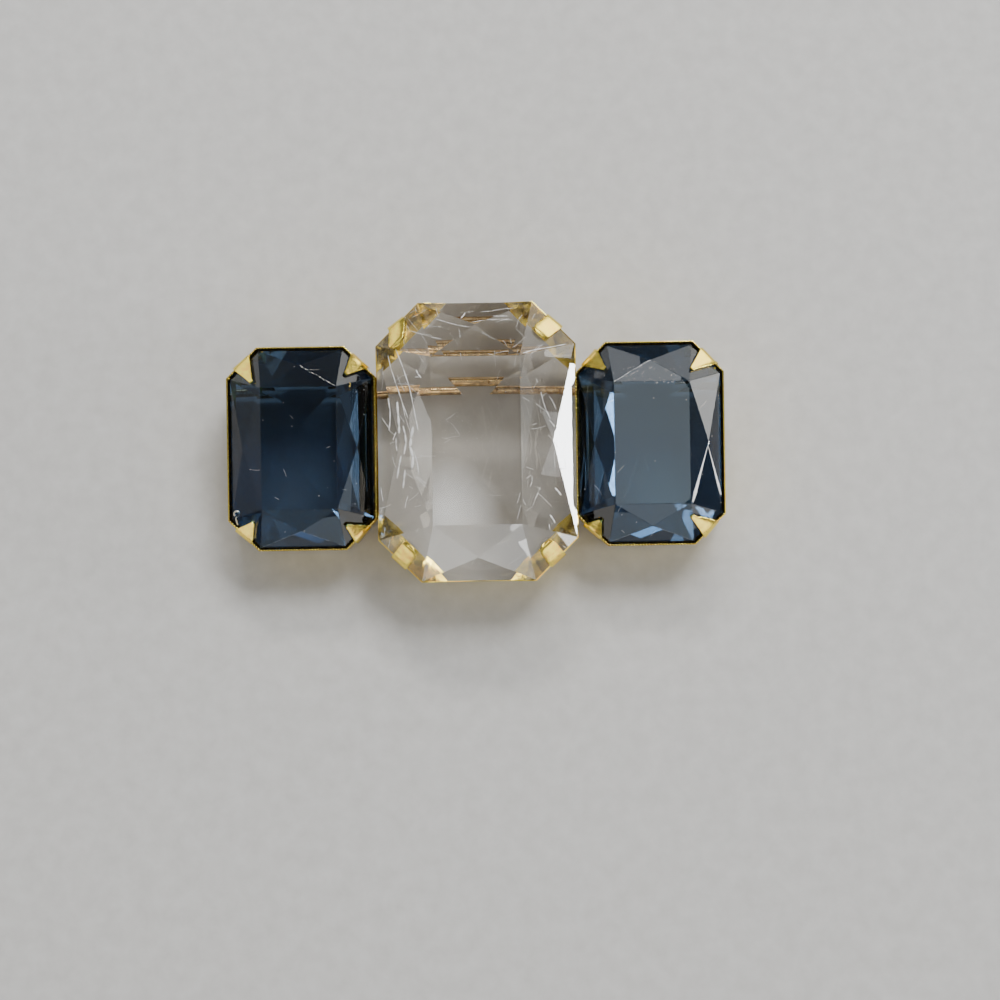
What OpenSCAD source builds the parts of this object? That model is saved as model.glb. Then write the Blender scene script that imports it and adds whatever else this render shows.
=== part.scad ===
// A straight bar pin: a large clear octagon stone between two smaller blue ones, each in an open
// backed claw setting, soldered side by side, with a pin across the back. It is drawn face up and
// then leant onto its lower edge and the pin's hinge and catch, the way it lies on a table.

/* [Centre stone] */
// Width of the clear stone
centre_w = 17.9; // [17:0.1:19]
// Height of the clear stone
centre_h = 25.1; // [24:0.1:27]
// How far each corner is cut back along the sides
centre_corner = 3.8; // [3:0.1:4.5]
// Width of the flat table on top
centre_table_w = 7.9; // [7:0.1:9]
// Height of the flat table on top
centre_table_h = 14.9; // [14:0.1:17]
// Thickness from the girdle up to the table
centre_crown = 3.6; // [3:0.1:3.8]
// Depth from the girdle down to the keel
centre_pavilion = 4.2; // [4:0.1:5]

/* [Side stones] */
// Width of each blue stone
side_w = 12.9; // [12:0.1:14]
// Height of each blue stone
side_h = 17.9; // [17:0.1:19]
// How far each corner is cut back along the sides
side_corner = 2.6; // [2.2:0.1:3]
// Width of the flat table on top
side_table_w = 6.8; // [6:0.1:7.5]
// Height of the flat table on top
side_table_h = 11; // [10:0.1:12]
// Thickness from the girdle up to the table
side_crown = 2.2; // [1.8:0.1:2.4]
// Depth from the girdle down to the keel
side_pavilion = 3; // [2.8:0.1:3.4]

/* [Settings] */
// Thickness of the sheet metal
sheet = 0.3; // [0.25:0.05:0.4]
// Thickness of the side settings' walls
side_wall_t = 0.22; // [0.2:0.02:0.3]
// How far the side settings sit below the middle of the centre one
side_drop = 0.35; // [0:0.05:0.5]
// How much further out the left setting stands than the right one
left_out = 0.2; // [0:0.05:0.3]
// How far the centre setting's sides dip between its corners
scallop_depth = 1.8; // [1.2:0.1:2.2]
// Depth of the teeth milled into the side settings' rims
tooth_depth = 0.15; // [0.1:0.05:0.25]
// Length of rim that each milled tooth takes
tooth_pitch = 0.45; // [0.4:0.05:0.8]
// Width of the turned-in rim round the open back of each side setting
side_back_rim = 1.3; // [0.9:0.1:1.8]
// Width of the turned-in rim round the open back of the centre setting
centre_back_rim = 0.6; // [0.4:0.1:1]
// Width of the flat web across each corner of the centre setting, under the stone
web_w = 2.7; // [2:0.1:3]

/* [Claws] */
// Width of a centre claw, which has a round end
centre_claw_w = 1.7; // [1.4:0.1:2]
// Length of a centre claw along the stone
centre_claw_l = 2.2; // [1.8:0.1:2.5]
// Width of a side claw at its root, from where it narrows to a point
side_claw_w = 1.9; // [1.6:0.1:2.2]
// Length of a side claw along the stone
side_claw_l = 2.4; // [2:0.1:2.6]

/* [Pin] */
// Height of the pin above the middle of the clear stone
pin_y = 4.95; // [4:0.05:6]
// Diameter of the pin's wire
pin_wire = 0.8; // [0.7:0.05:0.9]

/* [Hidden] */
$fn = 48;

// Clearances between pieces
side_gap = 0.14;
seat_gap = 0.06;
claw_gap = 0.05;
web_gap = seat_gap + 0.05;

// The centre setting's wall stands under the girdle, between these offsets from the stone's outline
centre_wall_in = 0.15;
centre_wall_out = sheet - centre_wall_in;

// Levels above the plane of the open backs
girdle = 0.55;
keel_z = 0.65;
centre_girdle_z = keel_z + centre_pavilion;
side_girdle_z = keel_z + side_pavilion;
centre_rim_z = centre_girdle_z - centre_wall_in * centre_pavilion / (centre_w / 2) - seat_gap;
side_rim_z = side_girdle_z + girdle + 0.15;

// Top of the webs, which lie flat under the back's lowest point above them
web_z = centre_girdle_z - web_w * centre_pavilion / (centre_w / 2) - web_gap;

// The star points of the crown, as shares of its width and of its height
star_in = 0.42;
star_up = 0.59;

// The clear stone's right star is ground lower than the others, which leaves a flatter facet outside it
centre_right_star_up = 0.46;

// The clear stone's keel stops this much short of its mitre at each end
centre_keel_in = 0.5;

// Length of wall that stays at full height on each side of a corner, along the centre setting
post_l = 1;

// Claws: how far they reach down the wall below the girdle, how far they sit in it, and their tips
centre_claw_foot = 1.5;
side_claw_foot = 1.2;
claw_t = sheet + 0.05;
claw_bite = 0.06;
centre_tip_r = 0.4 * centre_claw_w;
side_tip_r = 0.2;

// How deep a milled tooth's ridge lies under the rim's top
ridge_drop = 0.02;

// The seat that runs round inside each side setting, under the girdle
seat_w = 0.4;
seat_h = 0.6;

// The right setting overlaps the centre one by this much. Solder runs between the walls' feet.
solder_bite = 0.13;
solder_w = 0.3;
solder_l = 9;
solder_h = 1.6;
side_out = side_gap + side_wall_t;
pitch = centre_w / 2 + centre_wall_out + side_w / 2 + side_out - solder_bite;
half_length = pitch + side_w / 2 + side_out;

// Hinge and catch
pin_drop = 1.85;
pad_t = 0.35;
pad_l = 2.5;
pad_w = 3.2;
pad_bite = 0.1;
cheek_t = 0.4;
eye_play = 0.06;
foot_r = 0.95;
rivet_r = 0.3;
eye_bore_r = rivet_r + 0.05;
eye_r = 0.8;
catch_play = 0.1;
catch_bore_r = pin_wire / 2 + catch_play;
catch_w = 2;
catch_mouth = 70;
finding_x = half_length - 2.1;
point_l = 0.9;
point_r = 0.08;

// How far the pin leans when it lies on its lower edge, its hinge and its catch
edge_y = centre_h / 2 + centre_wall_out;
reach = edge_y + pin_y;
lean = atan2(pin_drop, reach) + asin(foot_r / norm([reach, pin_drop]));
lift = edge_y * sin(lean);
back_shift = centre_rim_z * sin(lean) / 2;

// The hinge's cheeks are flat underneath, so each touches the table with its lower corner
hinge_half_w = pin_wire / 2 + eye_play + cheek_t;
cheek_r = (lift + (pin_y - hinge_half_w) * sin(lean)) / cos(lean) - pin_drop;
neck_w = 1.9 * cheek_r;

// A mitred offset of an octagon also lengthens the cut on its corners
function grown_corner(corner, grow) = corner + grow * (2 - sqrt(2));

function octagon_points(w, h, corner) =
    let (x = w / 2, y = h / 2, xc = w / 2 - corner, yc = h / 2 - corner)
    [[x, -yc], [x, yc], [xc, y], [-xc, y], [-x, yc], [-x, -yc], [-xc, -y], [xc, -y]];

function at_height(points, z) = [for (p = points) [p[0], p[1], z]];

function turned_over(face) = [for (i = [len(face) - 1:-1:0]) face[i]];

// Angle of the facet on a cut corner, from the girdle up to the table's corner
function corner_slope(w, h, corner, table_w, table_h, crown) =
    atan2(crown, ((w + h - table_w - table_h) / 2 - corner) / sqrt(2));

module octagon(w, h, corner, grow = 0) {
    polygon(octagon_points(w + 2 * grow, h + 2 * grow, grown_corner(corner, grow)));
}

// A band that follows the stone's outline, between two offsets from it
module band(w, h, corner, inside, outside, low, high) {
    translate([0, 0, low]) linear_extrude(high - low) difference() {
        octagon(w, h, corner, outside);
        octagon(w, h, corner, inside);
    }
}

// A stone with a scissor cut crown and a keeled back. Its lower girdle edge lies at z = 0.
module cut_stone(w, h, corner, table_w, table_h, crown, pavilion, keel_in = 0, right_up = star_up) {
    outline = octagon_points(w, h, corner);
    table_z = girdle + crown;
    star_z = girdle + star_up * crown;
    star_x = w / 2 - star_in * (w - table_w) / 2;
    star_y = h / 2 - star_in * (h - table_h) / 2;
    // Each cut corner's facet on the back ends on the line where a side and an end facet meet
    keel_y = (h - w) / 2 - keel_in;
    apex_in = corner / (2 - sqrt(2));
    apex_x = w / 2 - apex_in;
    apex_z = -apex_in * pavilion / (w / 2);
    apex_y = h / 2 + apex_z * (h / 2 - keel_y) / pavilion;
    points = concat(
        at_height(outline, 0),
        at_height(outline, girdle),
        [for (s = [[1, 1], [-1, 1], [-1, -1], [1, -1]]) [s[0] * table_w / 2, s[1] * table_h / 2, table_z]],
        [[star_x, 0, girdle + right_up * crown]],
        [[0, star_y, star_z], [-star_x, 0, star_z], [0, -star_y, star_z]],
        [for (s = [[1, 1], [-1, 1], [-1, -1], [1, -1]]) [s[0] * apex_x, s[1] * apex_y, apex_z]],
        [[0, keel_y, -pavilion], [0, -keel_y, -pavilion]]
    );
    // Where each group of points starts in that list
    upper = 8;
    table = 16;
    star = 20;
    apex = 24;
    keel = 28;
    crown_faces = concat(
        [[for (k = [0:3]) table + k]],
        [for (k = [0:3])
            let (a = upper + 2 * k, b = a + 1, next = upper + (2 * k + 2) % 8,
                 from = table + (k + 3) % 4, to = table + k, mid = star + k)
            each [[a, b, mid], [to, from, mid], [b, to, mid], [from, a, mid], [b, next, to]]],
        [for (i = [0:7]) [i, (i + 1) % 8, upper + (i + 1) % 8, upper + i]]
    );
    back_faces = concat(
        [[0, 1, apex, keel, keel + 1, apex + 3], [2, 3, apex + 1, keel, apex]],
        [[4, 5, apex + 2, keel + 1, keel, apex + 1], [6, 7, apex + 3, keel + 1, apex + 2]],
        [for (k = [0:3]) [2 * k + 1, (2 * k + 2) % 8, apex + k]]
    );
    polyhedron(points, concat([for (f = crown_faces) turned_over(f)], back_faces));
}

// What the mill takes off one side of a rim, seen from the side: a comb with its teeth pointing down
module comb(length, top) {
    count = floor(length / tooth_pitch);
    start = -count * tooth_pitch / 2;
    ridge = top - ridge_drop;
    teeth = [for (i = [0:count - 1], s = [0, 1])
        [start + (i + s / 2) * tooth_pitch, ridge - s * tooth_depth]];
    polygon(concat([[start, top + 1]], teeth, [[-start, ridge], [-start, top + 1]]));
}

// The wall of a side setting, with the rim milled along its four sides
module milled_wall(w, h, corner, gap, top) {
    middle = gap + side_wall_t / 2;
    sides = [[w, h], [h, w], [w, h], [h, w]];
    difference() {
        band(w, h, corner, gap, gap + side_wall_t, 0, top);
        for (i = [0:3])
            rotate([0, 0, 90 * i]) translate([sides[i][0] / 2 + middle, 0, 0])
                rotate([90, 0, 90]) linear_extrude(3 * sheet, center = true)
                    comb(sides[i][1] - 2 * corner, top);
    }
}

// An arch that dips into a wall's top edge, seen from the side, with its ends at the top
module dip(span, depth, top) {
    radius = (span * span / 4 + depth * depth) / (2 * depth);
    intersection() {
        translate([0, top - depth + radius]) circle(radius, $fn = 96);
        translate([-span, top - depth - 1]) square([2 * span, depth + 2]);
    }
}

// One claw, with x pointing outwards from the cut corner's edge: up the wall, then over the facet
module claw(gap, foot_z, top_z, angle, length, root_w, tip_r) {
    inner = gap + claw_bite;
    function on_facet(along, above) =
        [above * sin(angle) - along * cos(angle), top_z + along * sin(angle) + above * cos(angle)];
    function elbow(above, out) = on_facet((above * sin(angle) - out) / cos(angle), above);
    outer = gap + claw_t;
    tip_x = length * cos(angle) - tip_r;
    intersection() {
        rotate([90, 0, 0]) linear_extrude(2 * root_w, center = true)
            polygon([
                [inner, foot_z], [outer, foot_z],
                elbow(claw_gap + claw_t, outer), on_facet(length, claw_gap + claw_t),
                on_facet(length, claw_gap), elbow(claw_gap, inner)
            ]);
        linear_extrude(top_z + length + 1) {
            polygon([[1, -root_w / 2], [1, root_w / 2], [-tip_x, tip_r], [-tip_x, -tip_r]]);
            translate([-tip_x, 0]) circle(tip_r);
        }
    }
}

// Puts something at the middle of each cut corner's edge, with x pointing outwards
module at_corners(w, h, corner) {
    for (sx = [-1, 1], sy = [-1, 1])
        translate([sx * (w - corner) / 2, sy * (h - corner) / 2, 0])
            rotate([0, 0, atan2(sy, sx)]) children();
}

// The webs of the centre setting: flat sheet across its corners, under the stone
module corner_webs() {
    reach = (centre_w + centre_h) / 2 - centre_corner - sqrt(2) * web_w;
    translate([0, 0, web_z - sheet]) linear_extrude(sheet) difference() {
        octagon(centre_w, centre_h, centre_corner);
        polygon([[reach, 0], [0, reach], [-reach, 0], [0, -reach]]);
    }
}

// The wall under the centre stone's girdle, which dips between the corners and carries the claws
module centre_setting() {
    long_dip = centre_h - 2 * centre_corner - 2 * post_l;
    short_dip = centre_w - 2 * centre_corner - 2 * post_l;
    difference() {
        band(centre_w, centre_h, centre_corner, -centre_wall_in, centre_wall_out, 0, centre_rim_z);
        rotate([90, 0, 90]) linear_extrude(2 * centre_w, center = true)
            dip(long_dip, scallop_depth, centre_rim_z);
        rotate([90, 0, 0]) linear_extrude(2 * centre_h, center = true)
            dip(short_dip, scallop_depth * short_dip / long_dip, centre_rim_z);
    }
    band(centre_w, centre_h, centre_corner, -centre_back_rim, centre_wall_out / 2, 0, sheet);
    corner_webs();
    angle = corner_slope(centre_w, centre_h, centre_corner, centre_table_w, centre_table_h, centre_crown);
    at_corners(centre_w, centre_h, centre_corner)
        claw(0, centre_girdle_z - centre_claw_foot, centre_girdle_z + girdle, angle,
             centre_claw_l, centre_claw_w, centre_tip_r);
}

// A milled wall round the stone, with a seat under its girdle and a rim turned in at the back
module side_setting() {
    seat_top = side_girdle_z - seat_w * side_pavilion / (side_w / 2) - seat_gap;
    milled_wall(side_w, side_h, side_corner, side_gap, side_rim_z);
    into_wall = side_gap + side_wall_t / 2;
    band(side_w, side_h, side_corner, -seat_w, into_wall, seat_top - seat_h, seat_top);
    band(side_w, side_h, side_corner, -side_back_rim, into_wall, 0, sheet);
    angle = corner_slope(side_w, side_h, side_corner, side_table_w, side_table_h, side_crown);
    at_corners(side_w, side_h, side_corner)
        claw(side_gap, side_girdle_z - side_claw_foot, side_girdle_z + girdle, angle,
             side_claw_l, side_claw_w, side_tip_r);
}

// The small plate by which the hinge and the catch are each soldered to a setting's back
module solder_pad() {
    translate([-pad_l / 2, -pad_w / 2, -pad_t]) cube([pad_l, pad_w, pad_t + pad_bite]);
}

// Two round ended cheeks with a rivet between them
module hinge() {
    middle = hinge_half_w - cheek_t / 2;
    solder_pad();
    for (side = [-1, 1])
        translate([0, side * middle, 0])
            rotate([90, 0, 0]) linear_extrude(cheek_t, center = true) {
                translate([0, -pin_drop]) circle(cheek_r);
                translate([-neck_w / 2, -pin_drop]) square([neck_w, pin_drop]);
            }
    translate([0, 0, -pin_drop]) rotate([90, 0, 0])
        cylinder(h = 2 * middle, r = rivet_r, center = true);
}

// A ring with a mouth at one side, where the pin is pushed in
module catch() {
    solder_pad();
    translate([-catch_w / 2, 0, -pin_drop]) rotate([0, 90, 0])
        rotate_extrude(angle = 360 - catch_mouth, start = 270 + catch_mouth / 2)
            translate([catch_bore_r, 0]) square([foot_r - catch_bore_r, catch_w]);
    post_h = pin_drop - catch_bore_r - catch_play;
    translate([-catch_w / 2, -foot_r / 2, -post_h]) cube([catch_w, foot_r, post_h]);
}

// Puts something at the middle of the left or the right setting
module at_side(side) {
    translate([side * pitch - (side < 0 ? left_out : 0), -side_drop, 0]) children();
}

module settings() {
    solder_x = centre_w / 2 - centre_wall_in + 0.05;
    color("goldenrod") {
        centre_setting();
        for (side = [-1, 1]) {
            at_side(side) side_setting();
            w = solder_w + (side < 0 ? left_out : 0);
            translate([side < 0 ? -solder_x - w : solder_x, -solder_l / 2, sheet / 2])
                cube([w, solder_l, solder_h]);
        }
        translate([-finding_x - left_out, pin_y, 0]) hinge();
        translate([finding_x, pin_y, 0]) catch();
    }
}

module centre_stone() {
    color([0.93, 0.92, 0.88, 0.4]) translate([0, 0, centre_girdle_z])
        cut_stone(centre_w, centre_h, centre_corner, centre_table_w, centre_table_h,
                  centre_crown, centre_pavilion, centre_keel_in, centre_right_star_up);
}

module side_stone(side) {
    color([0.1, 0.17, 0.3, 0.7]) at_side(side) translate([0, 0, side_girdle_z])
        cut_stone(side_w, side_h, side_corner, side_table_w, side_table_h, side_crown, side_pavilion);
}

// The pin: an eye round the hinge's rivet, a straight wire and a tapered point
module pin_stem() {
    eye_x = -finding_x - left_out;
    wire_start = eye_x + (eye_bore_r + eye_r) / 2;
    wire_end = finding_x + catch_w / 2 + catch_play;
    color("gold") translate([0, pin_y, -pin_drop]) {
        translate([eye_x, 0, 0]) rotate([90, 0, 0]) difference() {
            cylinder(h = pin_wire, r = eye_r, center = true);
            cylinder(h = 2 * pin_wire, r = eye_bore_r, center = true);
        }
        translate([wire_start, 0, 0]) rotate([0, 90, 0])
            cylinder(h = wire_end - wire_start, r = pin_wire / 2);
        translate([wire_end, 0, 0]) rotate([0, 90, 0])
            cylinder(h = point_l, r1 = pin_wire / 2, r2 = point_r);
    }
}

// Leans the pin onto its lower edge and its findings, with its box centred over the origin
module as_it_lies() {
    translate([left_out / 2, back_shift, lift]) rotate([lean, 0, 0]) children();
}

as_it_lies() settings();
as_it_lies() centre_stone();
as_it_lies() side_stone(-1);  // left_stone
as_it_lies() side_stone(1);  // right_stone
as_it_lies() pin_stem();
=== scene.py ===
# %% [markdown]
# # A bar pin with three octagon stones
#
# A large clear stone stands between two smaller blue ones. Each is held by claws in a setting with
# an open back, the settings are soldered side by side, and a wire pin runs across behind them.
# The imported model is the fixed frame. It already holds every piece at its real size, so this
# script only gives each piece the shape and the finish that the real one shows up close.

import math
import random
from collections import namedtuple
from contextlib import contextmanager

import bmesh
import bpy
from mathutils import Matrix, Vector
from mathutils.bvhtree import BVHTree


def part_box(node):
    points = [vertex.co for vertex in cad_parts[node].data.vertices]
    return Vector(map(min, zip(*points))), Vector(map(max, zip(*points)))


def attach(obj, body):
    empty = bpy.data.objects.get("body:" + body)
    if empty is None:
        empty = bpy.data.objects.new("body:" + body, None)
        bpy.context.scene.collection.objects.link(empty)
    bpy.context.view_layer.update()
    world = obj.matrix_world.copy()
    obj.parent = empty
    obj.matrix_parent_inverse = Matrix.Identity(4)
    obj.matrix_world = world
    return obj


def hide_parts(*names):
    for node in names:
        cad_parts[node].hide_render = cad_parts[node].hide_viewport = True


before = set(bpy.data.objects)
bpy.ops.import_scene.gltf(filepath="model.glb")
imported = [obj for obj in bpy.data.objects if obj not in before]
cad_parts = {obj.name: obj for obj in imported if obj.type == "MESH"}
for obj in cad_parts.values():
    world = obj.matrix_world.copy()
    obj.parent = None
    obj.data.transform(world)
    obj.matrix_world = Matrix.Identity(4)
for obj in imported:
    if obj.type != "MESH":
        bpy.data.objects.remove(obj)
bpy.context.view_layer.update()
print("pieces in the frame:", sorted(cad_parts))

# %% [markdown]
# ## The bench and the table
#
# The pin lies on its back, so it leans on its lower edge and on its hinge and catch. It is far
# easier to model level, in millimetres, as a jeweller holds it at the bench. One matrix then
# brings each finished piece to where it lies, in metres. The lean is measured from the clear
# stone's flat table, which is its largest face that looks up.

# %% How the pin lies
MM = 0.001
LOOKS_UP = 0.9
SAME_PLANE = 0.9999
CLEAR_TABLE_Z = 9.0

cad_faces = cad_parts["centre_stone"].data.polygons
largest = max(cad_faces, key=lambda face: face.area if face.normal.z > LOOKS_UP else 0)
table_faces = [face for face in cad_faces if face.normal.dot(largest.normal) > SAME_PLANE]
table_centre = sum((face.center for face in table_faces), Vector()) / len(table_faces)
lean = math.asin(-largest.normal.y)
turn = Matrix.Rotation(lean, 4, "X")
foot = table_centre - turn @ Vector((0, 0, CLEAR_TABLE_Z * MM))
LIE = Matrix.Translation(foot) @ turn @ Matrix.Scale(MM, 4)
print("the pin leans by", round(math.degrees(lean), 2), "degrees")

# %% [markdown]
# ### Tools for the bench
#
# Blender's operators act on all that is selected, so each one is given a clean selection first.
# These few helpers choose pieces, pick out faces and edges by a test, and finish a piece off.

# %% Choosing pieces, and parts of a piece
QUARTER = math.radians(90)
NEAR = 0.01


def choose(*pieces):
    """Selects these objects alone, the first of them active."""
    bpy.ops.object.select_all(action="DESELECT")
    for piece in pieces:
        piece.select_set(True)
    bpy.context.view_layer.objects.active = pieces[0]


@contextmanager
def editing():
    """Edit mode for the active piece. It starts with all of the piece selected."""
    bpy.ops.object.mode_set(mode="EDIT")
    bpy.ops.mesh.select_all(action="SELECT")
    yield
    bpy.ops.object.mode_set(mode="OBJECT")


def pick(piece, kind, wanted):
    """In edit mode, selects just those faces, edges or vertices for which wanted is true."""
    bpy.ops.mesh.select_mode(type=kind)
    bpy.ops.mesh.select_all(action="DESELECT")
    mesh = bmesh.from_edit_mesh(piece.data)
    items = {"FACE": mesh.faces, "EDGE": mesh.edges, "VERT": mesh.verts}[kind]
    for item in items:
        if wanted(item):
            item.select_set(True)
    mesh.select_flush_mode()
    bmesh.update_edit_mesh(piece.data)


def face_out():
    """In edit mode, turns every face to look outwards."""
    bpy.ops.mesh.select_all(action="SELECT")
    bpy.ops.mesh.normals_make_consistent(inside=False)


# %% Making, shaping and copying


def primitive(name, add, placed=None, **values):
    """A piece from one of Blender's primitives. It is placed, and its place settled in its mesh."""
    bpy.ops.object.select_all(action="DESELECT")
    add(**values)
    piece = bpy.context.object
    piece.name = name
    for key, value in (placed or {}).items():
        setattr(piece, key, value)
    bpy.ops.object.transform_apply(location=True, rotation=True, scale=True)
    return piece


def plate(name, size, centre):
    """A block with its size and centre."""
    return primitive(name, bpy.ops.mesh.primitive_cube_add, size=1, location=centre, scale=size)


def shape_with(piece, kind, **values):
    """Adds a modifier to the piece and applies it."""
    choose(piece)
    modifier = piece.modifiers.new(kind.title(), kind)
    for key, value in values.items():
        setattr(modifier, key, value)
    bpy.ops.object.modifier_apply(modifier=modifier.name)


def blunt(piece, width, segments, angle):
    """Bevels each edge where the surface turns by more than an angle in degrees."""
    shape_with(piece, "BEVEL", width=width, segments=segments, limit_method="ANGLE",
               angle_limit=math.radians(angle))


def smooth(piece, angle=50):
    """Shades a piece smooth, but for edges that turn by more than an angle in degrees."""
    choose(piece)
    bpy.ops.object.shade_smooth_by_angle(angle=math.radians(angle))


def joined(name, pieces):
    """Joins several objects into one piece."""
    choose(*pieces)
    bpy.ops.object.join()
    piece = bpy.context.object
    piece.name = name
    return piece


def copy_of(piece, place=Matrix()):
    """A copy with its own mesh, put in its place."""
    other = piece.copy()
    other.data = piece.data.copy()
    bpy.context.scene.collection.objects.link(other)
    other.data.transform(place)
    return other


def lay_down(slot, *pieces):
    """Brings finished pieces from the bench to where they lie. The slot is not used."""
    for piece in pieces:
        choose(piece)
        piece.matrix_world = LIE
        bpy.ops.object.transform_apply(location=True, rotation=True, scale=True)
        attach(piece, "root")


# %% [markdown]
# ## The camera
#
# The photo was taken from straight above the stones, a little below and to the right of the middle
# of the pin, with the pin turned by under a degree. The camera is set level with the stones' tables
# and leans with them, and its lens follows from the width that it sees at the girdles' level.

# %% The camera
CAMERA_RISE = 165
CAMERA_X = 2.01
CAMERA_Y = -5.3
CAMERA_TURN = -0.9
SENSOR = 36
VIEW_WIDTH = 90.6
PICTURE = 1000
GIRDLE_LEVEL = 5

camera_data = bpy.data.cameras.new("camera")
camera_data.sensor_width = SENSOR
camera_data.lens = SENSOR * (CAMERA_RISE - GIRDLE_LEVEL) / VIEW_WIDTH
camera_data.clip_start = 0.01
camera = bpy.data.objects.new("camera", camera_data)
bpy.context.scene.collection.objects.link(camera)
above = Matrix.Translation((CAMERA_X, CAMERA_Y, CAMERA_RISE))
view = LIE @ above @ Matrix.Rotation(math.radians(CAMERA_TURN), 4, "Z")
camera.matrix_world = Matrix.LocRotScale(view.to_translation(), view.to_quaternion(), None)
bpy.context.scene.camera = camera
print("the camera is", round(view.to_translation().z, 3), "m up")

# %% [markdown]
# ## The light
#
# A flat facet is a small mirror. From the camera it shows one patch of the room, so it is bright or
# dark all over, and one soft lamp can't light such a pin. The room here is a dim sky, a low window on
# the right, a wide one beyond the upper edge and a skylight. Small panels then stand where single
# facets mirror them, each found by following the camera's ray back from the facet. A panel with a
# narrow beam is mirrored as a patch with a soft edge.

# %% The sky
COOL = (0.95, 0.98, 1)
# Each pair has a height, as a sine, and how bright the sky is there.
SKY_LEVELS = ((0.0, 0.15), (0.2, 0.15), (0.45, 0.32), (0.7, 0.24), (0.87, 0.12))

world = bpy.data.worlds.new("studio")
bpy.context.scene.world = world
world.use_nodes = True
sky = world.node_tree
split = sky.nodes.new("ShaderNodeSeparateXYZ")
sky.links.new(sky.nodes.new("ShaderNodeTexCoord").outputs["Generated"], split.inputs[0])
bands = sky.nodes.new("ShaderNodeValToRGB")
sky.links.new(split.outputs["Z"], bands.inputs["Fac"])
while len(bands.color_ramp.elements) < len(SKY_LEVELS):
    bands.color_ramp.elements.new(0.5)
for element, (place, level) in zip(bands.color_ramp.elements, SKY_LEVELS):
    element.position = place
    element.color = [level * part for part in COOL] + [1]
sky.links.new(bands.outputs["Color"], sky.nodes["Background"].inputs["Color"])

# %% Standing a panel
PANEL_AWAY = 0.8
Panel = namedtuple("Panel", "name azimuth height spread radiance colour beam", defaults=(COOL, None))


def stand(panel):
    """Stands a lamp that faces the pin. Angles are in degrees, and azimuth 0 is towards +X."""
    lamp = bpy.data.lights.new(panel.name, "AREA")
    lamp.shape = "RECTANGLE"
    halves = [math.radians(angle / 2) for angle in panel.spread]
    lamp.size, lamp.size_y = [2 * PANEL_AWAY * math.tan(half) for half in halves]
    lamp.energy = math.pi * lamp.size * lamp.size_y * panel.radiance
    if panel.beam:
        half = math.radians(panel.beam / 2)
        lamp.spread = 2 * half
        lamp.energy *= 1 - half / math.tan(half)
    lamp.color = panel.colour
    ob = bpy.data.objects.new(panel.name, lamp)
    bpy.context.scene.collection.objects.link(ob)
    a, e = math.radians(panel.azimuth), math.radians(panel.height)
    towards = Vector((math.cos(a) * math.cos(e), math.sin(a) * math.cos(e), math.sin(e)))
    ob.location = towards * PANEL_AWAY
    ob.rotation_euler = towards.to_track_quat("Z", "Y").to_euler()


# %% The windows, the small panels and the room
WARM = (1, 0.98, 0.93)
BLUISH = (0.75, 0.9, 1)
PANELS = (
    Panel("window", -0.8, 10.6, (7.6, 4.2), 110),
    Panel("transom", -1, 18.5, (5, 3), 3.5),
    Panel("curtain", 7.5, 14, (7, 9), 8, (1, 0.99, 0.95)),
    Panel("far_window", 92, 35, (22, 4.4), 50, (1, 0.99, 0.97)),
    Panel("skylight", 62, 47, (22, 18), 21),
    Panel("skylight_left", 130, 48, (28, 26), 0.9),
    # Each of these is mirrored by the facet that it is named after.
    Panel("right_table", -54, 81, (6, 6), 2.4, (0.8, 0.93, 1)),
    Panel("right_table_low", -61, 79.4, (6, 6), 1, (0.3, 0.7, 1), 3.8),
    Panel("left_table", -127, 78.8, (6, 6), 1.1, (0.5, 0.72, 1), 4.4),
    Panel("clear_table", -100.5, 80.4, (6, 6), 13, COOL, 3.7),
    Panel("clear_bottom", -91, 27, (6, 3.6), 4),
    Panel("clear_bottom_kites", -91, 10, (34, 4), 6),
    Panel("right_top", 82.5, 46, (4, 3), 4),
    Panel("right_top_kite", 74, 29, (6, 4), 2.5),
    Panel("right_top_kite_left", 95, 30.2, (4, 3), 2.5),
    Panel("right_bottom", -84, 32, (7, 4), 2.2, BLUISH),
    Panel("left_bottom", -98, 32, (7, 4), 0.6, (0.6, 0.85, 1)),
    Panel("blue_bottom_kites", -84.5, 15.5, (25, 3), 1.6, BLUISH),
    Panel("left_bottom_kite", -106, 14.5, (5, 3), 0.6, BLUISH),
    Panel("left_right_side", -2, 24, (24, 4), 1.4, (0.85, 0.95, 1)),
    # The room round the pin.
    Panel("left_wall", 180, 20, (40, 20), 0.35),
    Panel("room_right", -45, 50, (40, 34), 1.4, (1, 0.94, 0.82)),
    Panel("room_left", -135, 50, (40, 34), 0.5, (1, 0.98, 0.94)),
    Panel("low_north_east", 46, 15, (26, 16), 3.5, WARM),
    Panel("low_north_west", 136, 13, (26, 14), 1.3, WARM),
    Panel("low_south_east", -45, 8, (26, 12), 2.2, WARM),
    Panel("low_south_west", -136, 8, (26, 12), 1.6, WARM),
)
for panel in PANELS:
    stand(panel)
print(len(PANELS), "panels stand round the pin")

# %% [markdown]
# ## The stones
#
# A cutter grinds a stone from a rough block, one facet at a time, on a flat wheel. The same
# happens here: a block with cut corners is bisected by a plane for every facet, and what lies
# outside the plane goes. The crown is a scissor cut. On each side a star point stands between the
# girdle and the table, and four triangles run to it. The back is ground to a keel.

# %% The cut of each stone
GIRDLE = 0.55
STAR_IN = 0.42
STAR_UP = 0.59
SIDE_DROP = 0.35
CORNERS = ((1, 1), (-1, 1), (-1, -1), (1, -1))
# Sizes and levels are in millimetres. A star point's place is a share of the way from the girdle to
# the table, and of the crown's height. The keel stops short of its full length by keel_in.
Cut = namedtuple("Cut", "name node slot x y girdle_z width height corner table_w table_h "
                 "crown pavilion keel_in right_star_up polish")


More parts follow.
